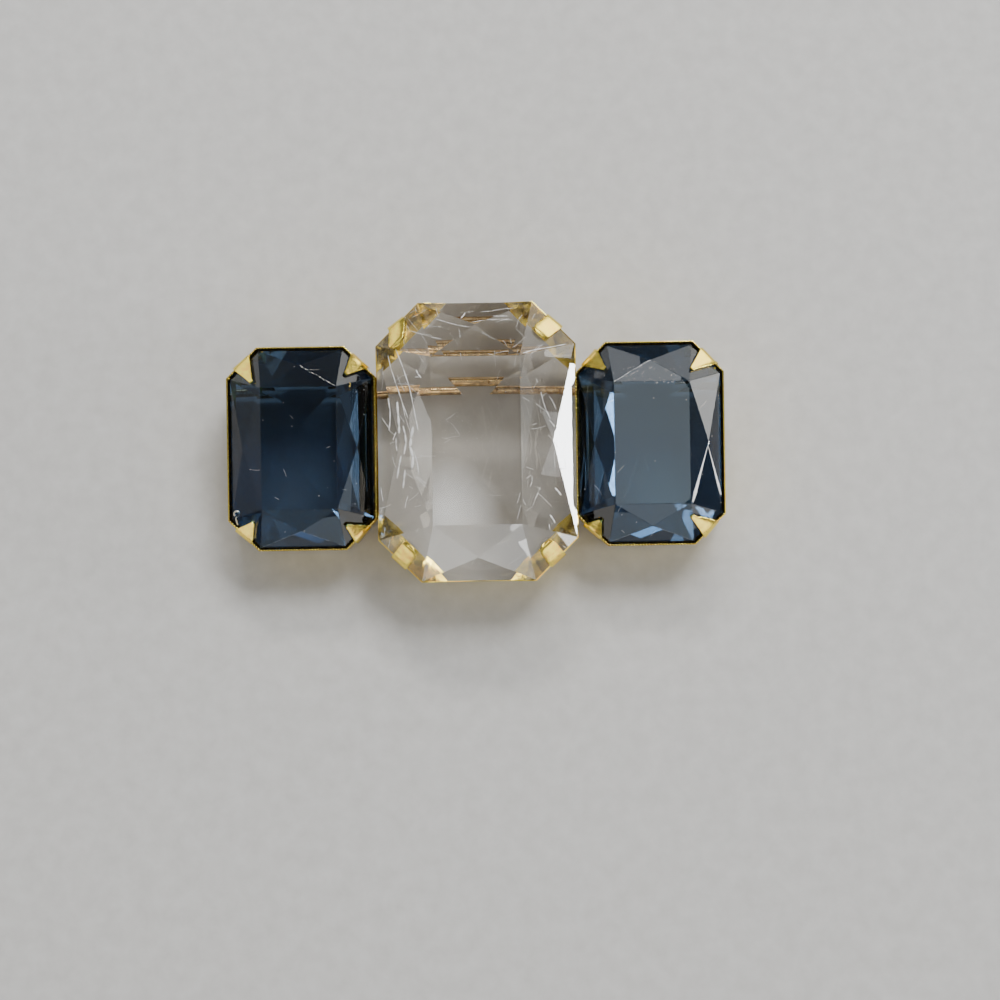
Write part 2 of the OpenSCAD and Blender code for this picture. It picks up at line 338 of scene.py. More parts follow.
def from_middle(name):
    """How far to the right of the clear stone's middle this piece's middle is."""
    return (sum(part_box(name), Vector()).x - sum(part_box("centre_stone"), Vector()).x) / 2 / MM


left_x, right_x = from_middle("left_stone"), from_middle("right_stone")
clear_cut = Cut(
    name="clear_octagon", node="centre_stone", slot="clear_stone", x=0, y=0, girdle_z=4.85,
    width=17.9, height=25.1, corner=3.8, table_w=7.9, table_h=14.9, crown=3.6,
    pavilion=4.2, keel_in=0.5, right_star_up=0.46, polish=0.05)
left_cut = Cut(
    name="left_octagon", node="left_stone", slot="blue_glass", x=left_x, y=-SIDE_DROP, girdle_z=3.65,
    width=12.9, height=17.9, corner=2.6, table_w=6.8, table_h=11, crown=2.2,
    pavilion=3, keel_in=0, right_star_up=STAR_UP, polish=0.012)
right_cut = left_cut._replace(name="right_octagon", node="right_stone", x=right_x, polish=0.018)
print("the blue stones stand", round(-left_x, 2), "and", round(right_x, 2), "mm from the clear one")

# %% A block with cut corners


def outline(cut, out=0):
    """The width, height and corner of the stone's outline, moved outwards."""
    return cut.width + 2 * out, cut.height + 2 * out, cut.corner + (2 - math.sqrt(2)) * out


def corner_middle(cut, sx, sy, z=0):
    """The middle of a cut corner of the outline, seen from the stone's middle."""
    return Vector((sx * (cut.width - cut.corner) / 2, sy * (cut.height - cut.corner) / 2, z))


def octagon_block(name, width, height, corner, low, high):
    """A block between two levels, with its four upright edges cut back."""
    block = plate(name, (width, height, high - low), (0, 0, (low + high) / 2))
    with editing():
        pick(block, "EDGE", lambda e: abs(e.verts[0].co.z - e.verts[1].co.z) > (high - low) / 2)
        bpy.ops.mesh.bevel(offset=corner, offset_type="OFFSET", segments=1, affect="EDGES")
    return block


def octagon_points(width, height, corner, z):
    """The block's corners at one level, anticlockwise from the lower end of its right side."""
    x, y = width / 2, height / 2
    flat = [(x, corner - y), (x, y - corner), (x - corner, y), (corner - x, y),
            (-x, y - corner), (-x, corner - y), (corner - x, -y), (x - corner, -y)]
    return [Vector((*point, z)) for point in flat]


# %% Where the facets lie


def facets_of(cut):
    """Each facet as three of its points, anticlockwise from outside, side by side round the stone."""
    lower, upper = [octagon_points(*outline(cut), z) for z in (0, GIRDLE)]
    tx, ty = cut.table_w / 2, cut.table_h / 2
    table = [Vector((sx * tx, sy * ty, GIRDLE + cut.crown)) for sx, sy in CORNERS]
    star_x = cut.width / 2 - STAR_IN * (cut.width / 2 - tx)
    star_y = cut.height / 2 - STAR_IN * (cut.height / 2 - ty)
    star_z = GIRDLE + STAR_UP * cut.crown
    stars = [Vector((star_x, 0, GIRDLE + cut.right_star_up * cut.crown))]
    stars += [Vector((x, y, star_z)) for x, y in ((0, star_y), (-star_x, 0), (0, -star_y))]
    # On the back, the facet below a cut corner runs to a point, and the others to the keel.
    point_in = cut.corner / (2 - math.sqrt(2))
    point_z = -point_in * cut.pavilion / (cut.width / 2)
    keel_y = (cut.height - cut.width) / 2 - cut.keel_in
    point_y = cut.height / 2 + point_z * (cut.height / 2 - keel_y) / cut.pavilion
    for k, star in enumerate(stars):
        a, b, following = upper[2 * k], upper[2 * k + 1], upper[(2 * k + 2) % 8]
        before, after = table[(k + 3) % 4], table[k]
        yield from ((a, b, star), (after, before, star), (b, after, star), (before, a, star))
        yield b, following, after
        a, b, following = lower[2 * k], lower[2 * k + 1], lower[(2 * k + 2) % 8]
        sx, sy = CORNERS[k]
        yield b, a, Vector((0, math.copysign(keel_y, b.y), -cut.pavilion))
        yield Vector((sx * (cut.width / 2 - point_in), sy * point_y, point_z)), following, b


# %% Grinding the facets
SHARP_FACET = 4


def grind(a, b, c):
    """Grinds away what lies outside the plane through three points, anticlockwise from outside."""
    outward = (b - a).cross(c - a).normalized()
    bpy.ops.mesh.select_all(action="SELECT")
    bpy.ops.mesh.bisect(plane_co=a, plane_no=outward, use_fill=True, clear_outer=True, threshold=1e-5)


def cut_stone(cut):
    """A stone ground from its block, with its edges polished, at its place on the bench."""
    stone = octagon_block(cut.name, *outline(cut), -cut.pavilion, GIRDLE + cut.crown)
    with editing():
        for facet in facets_of(cut):
            grind(*facet)
    print(cut.name, "has", len(stone.data.polygons), "facets")
    blunt(stone, cut.polish, 2, SHARP_FACET)
    stone.data.transform(Matrix.Translation((cut.x, cut.y, cut.girdle_z)))
    lay_down(cut.slot, stone)
    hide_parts(cut.node)
    return stone


cuts = (clear_cut, left_cut, right_cut)
clear_octagon, left_octagon, right_octagon = [cut_stone(cut) for cut in cuts]

# %% [markdown]
# ## The settings
#
# Each setting is a strip of sheet metal bent round the stone's outline and soldered. A side wall
# with nothing above or below is the way to start: take a block of the outline, delete its top and
# bottom, and let Solidify give the strip its thickness. The rim that is turned in at an open back
# is the same band, only wide and low.

# %% A band round a stone
SHEET = 0.3
SIDE_SHEET = 0.16
SIDE_GAP = 0.18
SEAT_GAP = 0.06
CENTRE_WALL_IN = 0.15
CENTRE_WALL_OUT = SHEET - CENTRE_WALL_IN
SHARP_METAL = 35
SMOOTH_METAL = 40
INTO_WALL = 0.05


def band(name, cut, inside, outside, low, high):
    """A band of metal round the stone, between two offsets from its outline and two levels."""
    piece = octagon_block(name, *outline(cut, inside), low, high)
    with editing():
        pick(piece, "FACE", lambda face: abs(face.normal.z) > 0.5)
        bpy.ops.mesh.delete(type="FACE")
    shape_with(piece, "SOLIDIFY", thickness=outside - inside, offset=1, use_even_offset=True)
    return piece


def soften(piece, width=0.05, segments=2):
    """Rounds every sharp edge of a metal piece a little, as polishing does."""
    blunt(piece, width, segments, SHARP_METAL)
    smooth(piece, SMOOTH_METAL)


# %% Where the shade is painted


def paint_shade(piece, amount):
    """Writes how much painted shade each point of the piece gets, from 0 to 1, which the finish reads."""
    layer = piece.data.attributes.new("painted_shade", "FLOAT", "POINT")
    for vertex in piece.data.vertices:
        layer.data[vertex.index].value = max(0, min(1, amount(vertex.co, vertex.normal)))


def inside_shade(co, normal):
    """A wall gets painted shade where it faces the stone."""
    return -3 * (normal.x * co.x + normal.y * co.y) / math.hypot(co.x, co.y)


# %% [markdown]
# ### The claws
#
# A claw is a tongue of the same sheet. It stands up against the wall, bends over the girdle and lies
# on the facet of a cut corner. It is drawn out of a small plate: the end face is extruded, turned and
# narrowed, again and again. The clear stone's claws end round, and the blue stones' end in a point.
# They were bent by hand, so each gets its own twist, skew and length.

# %% The path of a claw
Station = namedtuple("Station", "x y z tilt width")
Claw = namedtuple("Claw", "foot inner thick length width_at")
CLAW_GAP = 0.05
BEND = 0.3
BEND_STEPS = 5
FACET_STEPS = 9


def corner_slope(cut):
    """The angle of the facet on a cut corner."""
    run = (cut.width + cut.height - cut.table_w - cut.table_h) / 2 - cut.corner
    return math.atan2(cut.crown, run / math.sqrt(2))


def claw_stations(cut, claw, skew, stretch):
    """Where the claw's end face stands as it goes up the wall, over the bend and along the facet."""
    slope = corner_slope(cut)
    rise = QUARTER - slope
    top = cut.girdle_z + GIRDLE
    line = CLAW_GAP + claw.thick / 2
    x = claw.inner + claw.thick / 2
    elbow = (line * math.sin(slope) - x) / math.cos(slope)
    elbow_z = top + elbow * math.sin(slope) + line * math.cos(slope)
    width = claw.width_at(0)
    stations = [Station(x, 0, up, 0, width) for up in (cut.girdle_z - claw.foot, elbow_z - BEND)]
    radius = BEND / math.tan(rise / 2)
    for i in range(1, BEND_STEPS + 1):
        tilt = rise * i / BEND_STEPS
        out = x - radius * (1 - math.cos(tilt))
        up = elbow_z - BEND + radius * math.sin(tilt)
        stations.append(Station(out, 0, up, tilt, width))
    start = elbow + BEND
    reach = claw.length * stretch - start
    for i in range(1, FACET_STEPS + 1):
        share = math.sin(QUARTER * i / FACET_STEPS)
        along = start + reach * share
        out = line * math.sin(slope) - along * math.cos(slope)
        up = top + along * math.sin(slope) + line * math.cos(slope)
        stations.append(Station(out, skew * reach * share, up, rise, claw.width_at(share)))
    return stations


# %% Drawing out a claw


def draw_out(stations, thick):
    """A strip drawn out through its stations from a small plate."""
    first = stations[0]
    piece = primitive("claw", bpy.ops.mesh.primitive_plane_add, {"scale": (thick, first.width, 1)},
                      size=1, location=(first.x, first.y, first.z))
    with editing():
        for before, after in zip(stations, stations[1:]):
            centre = (after.x, after.y, after.z)
            move = (after.x - before.x, after.y - before.y, after.z - before.z)
            bpy.ops.mesh.extrude_region_move(TRANSFORM_OT_translate={"value": move})
            turned, wider = after.tilt - before.tilt, after.width / before.width
            bpy.ops.transform.rotate(value=turned, orient_axis="Y", center_override=centre)
            bpy.ops.transform.resize(value=(1, wider, 1), center_override=centre)
        face_out()
    return piece


# %% Four claws on a setting


def claw_shade(co, normal):
    """A claw gets painted shade underneath, and its post a little on its outer side."""
    return 0.6 * normal.x - 3 * normal.z - 0.3 if co.x > 0 else -4 * normal.z


def claws_at_corners(name, cut, claw, tweaks, soft):
    """Four claws at the middles of the cut corners, anticlockwise from the upper right one.

    Each has its own twist in degrees, its skew, and its length against the usual one.
    """
    placed = []
    for (sx, sy), (twist, skew, stretch) in zip(CORNERS, tweaks):
        piece = draw_out(claw_stations(cut, claw, skew, stretch), claw.thick)
        soften(piece, soft, 3)
        paint_shade(piece, claw_shade)
        corner = corner_middle(cut, sx, sy) + Vector((cut.x, cut.y, 0))
        heading = Matrix.Rotation(math.atan2(sy, sx) + math.radians(twist), 4, "Z")
        piece.data.transform(Matrix.Translation(corner) @ heading)
        placed.append(piece)
    return joined(name, placed)


# %% Shaping the centre setting
CLAW_SHEET = 0.35
CLAW_BITE = 0.06
POST = 1
SCALLOP = 1.8
CENTRE_BACK_RIM = 0.6
BACK_BEHIND_WALL = 0.02
CENTRE_CLAW_W = 1.75
ROUND_FROM = 0.62
ROUND_TAPER = 0.06
ROUND_END = 0.48


def round_end(share):
    """The width of a round ended claw at a share of its length."""
    width = CENTRE_CLAW_W * (1 - ROUND_TAPER * share)
    late = max(0, share - ROUND_FROM) / (1 - ROUND_FROM)
    return width * max(ROUND_END, math.sqrt(1 - late ** 4))


def dip_cutter(span, depth, top, reach, along):
    """A round bar laid across the wall, which cuts a dip into its top edge."""
    radius = (span * span / 4 + depth * depth) / (2 * depth)
    placed = {"rotation_euler": (0, QUARTER, 0) if along == "X" else (QUARTER, 0, 0),
              "location": (0, 0, top - depth + radius)}
    return primitive("cutter", bpy.ops.mesh.primitive_cylinder_add, placed,
                     vertices=160, radius=radius, depth=reach)


def dip(wall, cutter):
    """Cuts a dip, and throws the cutter away."""
    shape_with(wall, "BOOLEAN", object=cutter, operation="DIFFERENCE", solver="EXACT")
    bpy.data.objects.remove(cutter)


# %% The centre wall and its back rim
wall_slope = clear_cut.pavilion / (clear_cut.width / 2)
wall_top = clear_cut.girdle_z - CENTRE_WALL_IN * wall_slope - SEAT_GAP
wall = band("centre_wall", clear_cut, -CENTRE_WALL_IN, CENTRE_WALL_OUT, 0, wall_top)
long_dip = clear_cut.height - 2 * clear_cut.corner - 2 * POST
short_dip = clear_cut.width - 2 * clear_cut.corner - 2 * POST
dip(wall, dip_cutter(long_dip, SCALLOP, wall_top, 2 * clear_cut.width, "X"))
dip(wall, dip_cutter(short_dip, SCALLOP * short_dip / long_dip, wall_top, 2 * clear_cut.height, "Y"))
soften(wall, 0.04)
# The centre wall gets painted shade where it faces the stone.
paint_shade(wall, lambda co, normal: 0.3 * inside_shade(co, normal))
back = band("centre_back", clear_cut, -CENTRE_BACK_RIM, CENTRE_WALL_OUT - BACK_BEHIND_WALL, 0, SHEET)
soften(back)

# %% [markdown]
# The gold that shines through the clear stone beside each claw is a flat web of sheet across the
# corner. Each web is cut out of a plate of the stone's outline, along a line across the corner.

# %% The webs
WEB_W = 2.7
WEB_GAP = SEAT_GAP + 0.05
web_top = clear_cut.girdle_z - WEB_W * wall_slope - WEB_GAP


def web(sx, sy):
    """The web across one corner of the centre setting."""
    piece = octagon_block("web", *outline(clear_cut), web_top - SHEET, web_top)
    heading = Vector((sx, sy, 0)).normalized()
    edge = corner_middle(clear_cut, sx, sy, web_top)
    with editing():
        bpy.ops.mesh.bisect(plane_co=edge - heading * WEB_W, plane_no=-heading, use_fill=True,
                            clear_outer=True, threshold=1e-5)
    soften(piece, 0.04)
    return piece


webs = [web(sx, sy) for sx in (1, -1) for sy in (1, -1)]
centre_setting = joined("centre_setting", [wall, back] + webs)
round_claw = Claw(foot=1.5, inner=CLAW_BITE, thick=CLAW_SHEET - CLAW_BITE, length=2.2, width_at=round_end)
centre_claws = claws_at_corners(
    "centre_claws", clear_cut, round_claw,
    ((4, 0.12, 1.12), (-8, 0.6, 1), (2, -0.05, 1.03), (-3, 0.05, 1.1)), soft=0.08)
lay_down("gilt_brass", centre_setting, centre_claws)
print("the centre setting has", len(centre_setting.data.polygons), "faces")

# %% [markdown]
# ### The side settings
#
# The blue stones sit inside their walls, with a dark line of air round the girdle. The rim is
# finished with a fine milled edge, a row of tiny beads, and worn smooth in places. One bead is
# made, then copied along each side.

# %% The side settings
SIDE_BACK_RIM = 1.3
SEAT_W = 0.4
SEAT_H = 0.6
RIM_ABOVE_GIRDLE = 0.1
SIDE_CLAW_W = 1.9
SIDE_CLAW_TIP = 0.35
BEAD_PITCH = 0.27
BEAD_R = 0.11
BEAD_SINK = 0.02


def pointed_end(share):
    """The width of a pointed claw at a share of its length: a little hollow at the sides."""
    return SIDE_CLAW_TIP + (SIDE_CLAW_W - SIDE_CLAW_TIP) * (1 - share) ** 1.1


# %% The milled edge


def milled_edge(cut, level, offset, sides, chance):
    """A row of tiny beads along the named sides of the rim, counted anticlockwise from the right."""
    bead = primitive("bead", bpy.ops.mesh.primitive_uv_sphere_add,
                     segments=8, ring_count=4, radius=BEAD_R)
    bpy.ops.object.shade_smooth()
    # Each bead gets painted shade, but for a painted highlight at its very top.
    paint_shade(bead, lambda co, normal: 1.5 - 1.6 * normal.z)
    corners = octagon_points(*outline(cut, offset), level)
    beads = []
    for side in sides:
        start, end = corners[side], corners[(side + 1) % 8]
        count = int((end - start).length / BEAD_PITCH)
        for i in range(count):
            place = start.lerp(end, (i + 0.5) / count) - Vector((0, 0, BEAD_SINK))
            worn = chance.uniform(0.75, 1.05)
            size = Matrix.Diagonal((worn, worn, worn * chance.uniform(0.7, 1), 1))
            beads.append(copy_of(bead, Matrix.Translation(place) @ size))
    bpy.data.objects.remove(bead)
    return joined("milled", beads)


# %% One side setting


def side_wall_shade(cut):
    """A side wall gets painted shade inside, and on top among the beads but for its outer side, which has
    no beads.
    """
    outward = math.copysign(1, cut.x)

    def amount(co, normal):
        return inside_shade(co, normal) + (normal.z > 0.3 and outward * co.x < cut.width / 2)

    return amount


def side_setting(name, cut, beaded, tweaks, chance):
    """The wall, seat, back rim, milled edge and claws of one blue stone."""
    top = cut.girdle_z + GIRDLE + RIM_ABOVE_GIRDLE
    seat_top = cut.girdle_z - SEAT_W * cut.pavilion / (cut.width / 2) - SEAT_GAP
    wall = band("wall", cut, SIDE_GAP, SIDE_GAP + SIDE_SHEET, 0, top)
    seat = band("seat", cut, -SEAT_W, SIDE_GAP + INTO_WALL, seat_top - SEAT_H, seat_top)
    back = band("back", cut, -SIDE_BACK_RIM, SIDE_GAP + INTO_WALL, 0, SHEET)
    for part in (wall, seat, back):
        soften(part)
    paint_shade(wall, side_wall_shade(cut))
    # The seat under the stone is painted in shade all over.
    paint_shade(seat, lambda co, normal: 1)
    milled = milled_edge(cut, top, SIDE_GAP + SIDE_SHEET / 2, beaded, chance)
    setting = joined(name, [wall, seat, back, milled])
    setting.data.transform(Matrix.Translation((cut.x, cut.y, 0)))
    claw = Claw(foot=1.2, inner=SIDE_GAP + CLAW_BITE, thick=CLAW_SHEET - CLAW_BITE,
                length=2.4, width_at=pointed_end)
    claws = claws_at_corners(name.replace("setting", "claws"), cut, claw, tweaks, soft=0.06)
    lay_down("gilt_brass", setting, claws)
    return setting, claws


# %% Both side settings
chance = random.Random(7)
left_setting, left_claws = side_setting(
    "left_setting", left_cut, (0, 1, 2, 3, 5, 6, 7),
    ((2, 0, 0.8), (-4, 0.15, 1.05), (5, 0, 0.76), (5, -0.12, 0.7)), chance)
right_setting, right_claws = side_setting(
    "right_setting", right_cut, range(1, 8),
    ((-2, 0.1, 1.05), (3, 0, 0.8), (4, -0.1, 0.5), (4, -0.14, 1.1)), chance)
print("each side setting has about", len(left_setting.data.polygons), "faces")

# %% [markdown]
# ### The solder
#
# A run of solder fills the narrow space between two settings. It starts as a bar, and the bar is
# subdivided, and its top and its underside sink a little, as solder does when it cools.

# %% The two runs of solder
SOLDER_L = 9
SOLDER_H = 1.6
SOLDER_Z = 0.15
SOLDER_SINK = 0.1
SOLDER_IN_CENTRE = 0.1
SOLDER_IN_SIDE = 0.04


def solder(x_low, x_high):
    """A run of solder between two settings, from one to the other."""
    middle = ((x_low + x_high) / 2, 0, SOLDER_Z + SOLDER_H / 2)
    piece = plate("solder", (x_high - x_low, SOLDER_L, SOLDER_H), middle)
    with editing():
        bpy.ops.mesh.subdivide(number_cuts=7)
        for z, sink in ((SOLDER_Z, SOLDER_SINK), (SOLDER_Z + SOLDER_H, -SOLDER_SINK)):
            pick(piece, "VERT",
                 lambda v: abs(v.co.z - z) < NEAR and abs(v.co.x - middle[0]) < 10 * NEAR)
            bpy.ops.transform.translate(value=(0, 0, sink))
    smooth(piece)
    return piece


right_run = clear_cut.width / 2 - SOLDER_IN_CENTRE
left_run = left_cut.x + left_cut.width / 2 + SIDE_GAP + SOLDER_IN_SIDE
runs = joined("solder_runs", [solder(right_run, right_run + SHEET), solder(left_run, -right_run)])
lay_down("gilt_brass", runs)
print("the left run is", round(-right_run - left_run, 2), "mm wide")

# %% [markdown]
# ### The hinge and the catch
#
# The wire turns on a rivet between two cheeks, and its point goes through a ring that is open at
# one side. The ring is a small face spun round the wire. Both stand on pads soldered to the
# backs. The wire itself already has its true shape in the frame, so it only gets a finish.

# %% Hinge and catch
PIN_Y = 4.95
PIN_DROP = 1.85
PIN_WIRE = 0.8
PAD = (2.5, 3.2, 0.35)
CHEEK_T = 0.4
EYE_PLAY = 0.06
CHEEK_R = 0.825
CHEEK_ROUND = 0.98
FOOT_R = 0.95
RIVET_R = 0.3
RIVET_PROUD = 0.06
CATCH_PLAY = 0.1
CATCH_BORE_R = PIN_WIRE / 2 + CATCH_PLAY
POST_OFF_BORE = 0.1
CATCH_W = 2
CATCH_MOUTH = 70
FINDING_IN = 2.1
side_reach = left_cut.width / 2 + SIDE_GAP + SIDE_SHEET - FINDING_IN


def cheek(y):
    """One cheek of the hinge: a plate with a round lower end."""
    height = PIN_DROP + CHEEK_R
    piece = plate("cheek", (2 * CHEEK_R, CHEEK_T, height), (0, y, -height / 2))

    def lower_corner(edge):
        a, b = [vertex.co for vertex in edge.verts]
        return max(a.z, b.z) < NEAR - height and abs(a.x - b.x) < NEAR

    with editing():
        pick(piece, "EDGE", lower_corner)
        bpy.ops.mesh.bevel(offset=CHEEK_R * CHEEK_ROUND, offset_type="OFFSET", segments=12,
                           affect="EDGES")
    soften(piece)
    return piece


def solder_pad():
    """The pad that a hinge or a catch stands on."""
    piece = plate("pad", PAD, (0, 0, INTO_WALL - PAD[2] / 2))
    soften(piece, 0.1, 3)
    return piece


# %% The hinge
middle = PIN_WIRE / 2 + EYE_PLAY + CHEEK_T / 2
rivet_length = 2 * middle + CHEEK_T + 2 * RIVET_PROUD
rivet = primitive("rivet", bpy.ops.mesh.primitive_cylinder_add, vertices=32, radius=RIVET_R,
                  depth=rivet_length, rotation=(QUARTER, 0, 0), location=(0, 0, -PIN_DROP))
soften(rivet, 0.08, 3)
hinge = joined("hinge", [solder_pad(), cheek(-middle), cheek(middle), rivet])
hinge.data.transform(Matrix.Translation((left_x - side_reach, PIN_Y, 0)))

# %% The catch
middle = (0, 0, (CATCH_BORE_R + FOOT_R) / 2)
ring = primitive("ring", bpy.ops.mesh.primitive_plane_add, {"scale": (CATCH_W, 1, 1)},
                 size=1, location=middle)
with editing():
    bpy.ops.transform.rotate(value=QUARTER, orient_axis="X", center_override=middle)
    bpy.ops.transform.resize(value=(1, 1, FOOT_R - CATCH_BORE_R), center_override=middle)
    bpy.ops.mesh.spin(steps=40, angle=math.radians(360 - CATCH_MOUTH), center=(0, 0, 0), axis=(1, 0, 0))
    face_out()
ring.data.transform(Matrix.Translation((0, 0, -PIN_DROP)))
post_h = PIN_DROP - CATCH_BORE_R - POST_OFF_BORE
post = plate("post", (CATCH_W, FOOT_R, post_h), (0, 0, -post_h / 2))
soften(ring, 0.06)
catch = joined("catch", [solder_pad(), ring, post])
catch.data.transform(Matrix.Translation((right_x + side_reach, PIN_Y, 0)))
lay_down("gilt_brass", hinge, catch)
settings = (centre_setting, centre_claws, left_setting, left_claws, right_setting, right_claws,
            runs, hinge, catch)
for piece in settings:
    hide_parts("settings")
print("hinge and catch stand", round(right_x - left_x + 2 * side_reach, 1), "mm apart")

# %% [markdown]
# ### A snag and burrs
#
# At the lower left corner of the left setting a curl of pale metal stands up from the rim, which the
# cutter of the milled edge tore loose. It is a round wire: a small disc is spun most of the way round
# a ring, then back round a smaller one, and drawn out into a tail. A few flakes stand up elsewhere.

# %% Places in the picture


def off_middle(pixel):
    """How far a place in the picture is from its middle, at the girdles' level, in millimetres."""
    x, y = [(part / PICTURE - 0.5) * VIEW_WIDTH for part in pixel]
    return x, -y


def over(pixel, level):
    """The place on the bench at a level that the camera sees at a place in the picture."""
    turned = Matrix.Rotation(math.radians(CAMERA_TURN), 3, "Z") @ Vector((*off_middle(pixel), 0))
    nearer = (CAMERA_RISE - level) / (CAMERA_RISE - GIRDLE_LEVEL)
    return Vector((CAMERA_X + turned.x * nearer, CAMERA_Y + turned.y * nearer, level))


# %% The snag
SNAG_PIXEL = (237, 514)
SNAG_LIFT = 0.3
SNAG_WIRE = 0.075
SNAG_R = 0.27
SNAG_ROUND = 300
SNAG_BACK_R = 0.2
SNAG_BACK = 90
SNAG_TAIL = (0.1, 0.17, -0.01)
SNAG_TURN = -140
SNAG_TILT = 20

rim_level = left_cut.girdle_z + GIRDLE + RIM_ABOVE_GIRDLE
# A positive spin runs clockwise here, so the first one ends at 360 - SNAG_ROUND degrees.
end = math.radians(360 - SNAG_ROUND)
back_middle = (SNAG_R + SNAG_BACK_R) * Vector((math.cos(end), math.sin(end), 0))
snag = primitive("snag", bpy.ops.mesh.primitive_circle_add, vertices=10, radius=SNAG_WIRE,
                 fill_type="NGON", location=(SNAG_R, 0, 0), rotation=(QUARTER, 0, 0))
with editing():
    bpy.ops.mesh.spin(steps=22, angle=math.radians(SNAG_ROUND), center=(0, 0, 0), axis=(0, 0, 1))
    bpy.ops.mesh.spin(steps=8, angle=math.radians(-SNAG_BACK), center=back_middle, axis=(0, 0, 1))
    for _ in range(3):
        bpy.ops.mesh.extrude_region_move(TRANSFORM_OT_translate={"value": SNAG_TAIL})
    face_out()
smooth(snag)
tilt = Matrix.Rotation(math.radians(SNAG_TILT), 4, "X")
tilt @= Matrix.Rotation(math.radians(SNAG_TURN), 4, "Z")
snag.data.transform(Matrix.Translation(over(SNAG_PIXEL, rim_level + SNAG_LIFT)) @ tilt)
lay_down("gilt_brass", snag)
print("the snag has", len(snag.data.polygons), "faces")

# %% The flakes
FLAKE_W = 0.12
FLAKE_T = 0.05
FLAKE_TIP = (1, 0.3, 0.5)
FLAKE_TIP_FROM = 0.3
FLAKE_RISE = 0.5
# Each flake has its place in the picture, its length and its heading in degrees.
FLAKES = {
    "right setting's upper corner": ((717, 363), 0.35, -50),
    "under the first": ((715, 368), 0.25, 20),
    "left setting's upper corner": ((229, 379), 0.22, 60),
    "left setting's top": ((262, 352), 0.18, 15),
    "claw by the centre": ((353, 524), 0.2, 100),
}

flakes = []
for pixel, length, heading in FLAKES.values():
    flake = plate("flake", (length, FLAKE_W, FLAKE_T), (0, 0, 0))
    with editing():
        bpy.ops.mesh.subdivide(number_cuts=2)
        pick(flake, "VERT", lambda v: v.co.x > FLAKE_TIP_FROM * length)
        bpy.ops.transform.resize(value=FLAKE_TIP, center_override=(length / 2, 0, 0))
        bpy.ops.transform.translate(value=(0, 0, FLAKE_RISE * length))
    spot = over(pixel, rim_level)
    flake.data.transform(Matrix.Translation(spot) @ Matrix.Rotation(math.radians(heading), 4, "Z"))
    flakes.append(flake)
flakes = joined("flakes", flakes)
smooth(flakes)
lay_down("gilt_brass", flakes)

# %% [markdown]
# ### Scratches, nicks and specks
#
# The clear stone is soft and has been worn, so it is scratched all over, worst down its left side. A
# scratch scatters light because its floor is crushed. Each one here is a row of thin slivers which
# lie in the surface: one sliver is modelled, and copies follow the scratch. The bold scratches are
# placed where the photo shows them, by the camera's own rays, and the hairlines are strewn.

# %% A sliver in the surface of a stone
SLIVER_SINK = 0.1
SLIVER_OVERLAP = 1.25
SLIVER_HIGH = 0.6

sliver = primitive("sliver", bpy.ops.mesh.primitive_uv_sphere_add, segments=6, ring_count=4, radius=0.5)
bpy.ops.object.shade_smooth()
bpy.context.view_layer.update()


# %% Laying a scratch


def surface_of(stone):
    """The stone's surface, for finding where a ray meets it."""
    mesh = stone.data
    return BVHTree.FromPolygons([v.co for v in mesh.vertices], [f.vertices for f in mesh.polygons])


def seen_at(surface, pixel):
    """Where the ray through a place in the picture meets a surface, and the normal there."""
    towards = view.to_3x3() @ Vector((*off_middle(pixel), GIRDLE_LEVEL - CAMERA_RISE))
    place, normal, _, _ = surface.ray_cast(view.to_translation(), towards.normalized())
    return place, normal


def scratch(surface, path, width):
    """Slivers laid from point to point of a path, given in places in the picture."""
    laid = []
    spots = [seen_at(surface, pixel) for pixel in path]
    for (start, normal), (end, _) in zip(spots, spots[1:]):
        if start is None or end is None or (end - start).length < 1e-6:
            continue
        along = end - start
        across = normal.cross(along).normalized()
        thick = normal * width * MM * SLIVER_HIGH
        size = Matrix((along * SLIVER_OVERLAP, across * width * MM, thick)).transposed()
        middle = (start + end) / 2 - normal * width * MM * SLIVER_SINK
        laid.append(copy_of(sliver, Matrix.Translation(middle) @ size.to_4x4()))
    return laid


# %% The bold marks on the clear stone
BOLD_WIDER = 2
